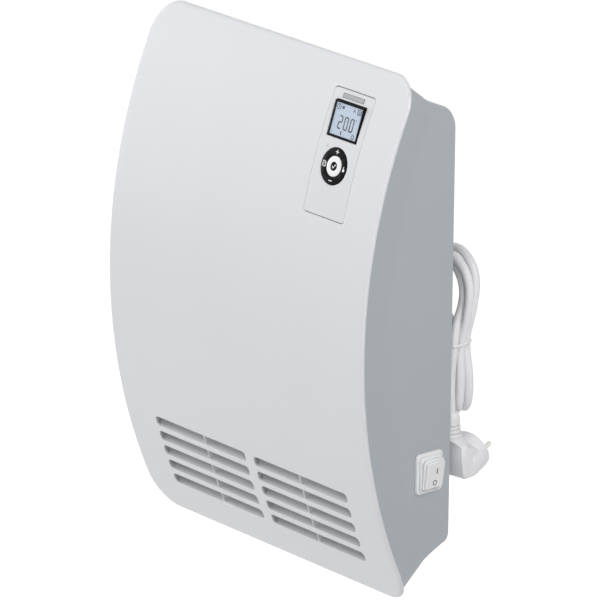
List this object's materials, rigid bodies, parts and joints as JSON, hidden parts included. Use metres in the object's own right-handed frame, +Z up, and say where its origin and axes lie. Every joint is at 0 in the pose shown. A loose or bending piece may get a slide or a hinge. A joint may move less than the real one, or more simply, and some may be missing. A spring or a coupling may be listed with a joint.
{
  "type": "wall fan heater",
  "caption": "Wall-mounted electric fan heater: bowed front cover with louvred outlet and display with key ring, flared housing, side rocker switch, bundled mains cord.",
  "frame": {"origin": "middle of the wall bracket's rear face, level with the middle of the heater's height, on the wall plane", "axes": "+X to the right as seen from the front of the heater, +Y back into the wall, +Z up"},
  "size_m": [0.3409, 0.165, 0.47],
  "materials": {
    "cover_plastic": "satin light silver-grey moulded cover",
    "housing_plastic": "fine-textured mid grey moulding",
    "black_plastic": "smooth black moulding",
    "key_white": "satin white key",
    "display_window": "clear window",
    "lcd": "pale blue-grey liquid crystal",
    "circuit_board": "green solder mask",
    "white_plastic": "satin white moulding",
    "cord_pvc": "smooth white flexible plastic",
    "silicone": "translucent white silicone rubber",
    "zinc_steel": "zinc-plated sheet and screws",
    "motor_steel": "stacked laminations",
    "nickel_plate": "bright nickel plating",
    "copper_wire": "enamelled copper winding",
    "mica_board": "pressed mica",
    "heating_alloy": "folded resistance ribbon",
    "dark_plastic": "matt dark grey moulding",
    "blue_case": "blue component case"
  },
  "bodies": {
    "case": {"front_cover": "cover_plastic", "louvre_left": "cover_plastic", "louvre_right": "cover_plastic", "control_plate": "cover_plastic", "housing": "housing_plastic", "display_frame": "black_plastic", "room_sensor": "black_plastic", "display_lens": "display_window", "lcd_module": "lcd", "control_board": "circuit_board", "power_board": "circuit_board", "display_carrier": "white_plastic", "cord_clamp": "white_plastic", "switch_flange": "white_plastic", "cord_tie": "white_plastic", "cord_gland": "white_plastic", "terminal_block": "white_plastic", "cord_hank": "cord_pvc", "cord_lead_in": "cord_pvc", "cord_lead_out": "cord_pvc", "plug_body": "cord_pvc", "plug_strain_relief": "cord_pvc", "switch_boot": "silicone", "key_mat": "silicone", "bearing_bush": "silicone", "wall_bracket": "zinc_steel", "cover_screw_1": "zinc_steel", "cover_screw_2": "zinc_steel", "cover_screw_3": "zinc_steel", "cover_screw_4": "zinc_steel", "lock_screw": "zinc_steel", "end_plate_left": "zinc_steel", "end_plate_right": "zinc_steel", "motor_bridge_outer": "zinc_steel", "motor_bridge_inner": "zinc_steel", "thermal_cutout": "zinc_steel", "motor_core": "motor_steel", "plug_pin_left": "nickel_plate", "plug_pin_right": "nickel_plate", "motor_coil": "copper_wire", "heater_frame": "mica_board", "heating_ribbon_1": "heating_alloy", "heating_ribbon_2": "heating_alloy", "heating_ribbon_3": "heating_alloy", "blower_scroll": "dark_plastic", "blower_tongue": "dark_plastic", "switch_body": "dark_plastic", "supply_transformer": "dark_plastic", "heating_relay": "blue_case", "filter_capacitor": "blue_case"},
    "blower": {"blower_wheel": "dark_plastic", "blower_shaft": "zinc_steel", "bearing_pin": "zinc_steel", "motor_rotor": "motor_steel"},
    "rocker": {"switch_rocker": "white_plastic"},
    "plus_key": {"key_plus": "black_plastic"},
    "minus_key": {"key_minus": "black_plastic"},
    "left_key": {"key_left": "black_plastic"},
    "right_key": {"key_right": "black_plastic"},
    "ok_key": {"key_ok": "key_white"}
  },
  "joints": [
    {"name": "blower_spin", "type": "hinge", "parent": "case", "child": "blower", "pos_m": [0.005, -0.036, -0.112], "axis": [1, 0, 0], "continuous": true},
    {"name": "rocker_tilt", "type": "hinge", "parent": "case", "child": "rocker", "pos_m": [0.1591, -0.026, -0.1218], "axis": [0, -1, 0], "range_deg": [0, 16], "deforming": ["switch_boot"]},
    {"name": "plus_press", "type": "slide", "parent": "case", "child": "plus_key", "axis": [0, 0.9465, -0.3226], "range_m": [0, 0.0006], "stiffness_N_per_m": 400},
    {"name": "minus_press", "type": "slide", "parent": "case", "child": "minus_key", "axis": [0, 0.9465, -0.3226], "range_m": [0, 0.0006], "stiffness_N_per_m": 400},
    {"name": "left_press", "type": "slide", "parent": "case", "child": "left_key", "axis": [0, 0.9465, -0.3226], "range_m": [0, 0.0006], "stiffness_N_per_m": 400},
    {"name": "right_press", "type": "slide", "parent": "case", "child": "right_key", "axis": [0, 0.9465, -0.3226], "range_m": [0, 0.0006], "stiffness_N_per_m": 400},
    {"name": "ok_press", "type": "slide", "parent": "case", "child": "ok_key", "axis": [0, 0.9465, -0.3226], "range_m": [0, 0.0006], "stiffness_N_per_m": 400}
  ]
}
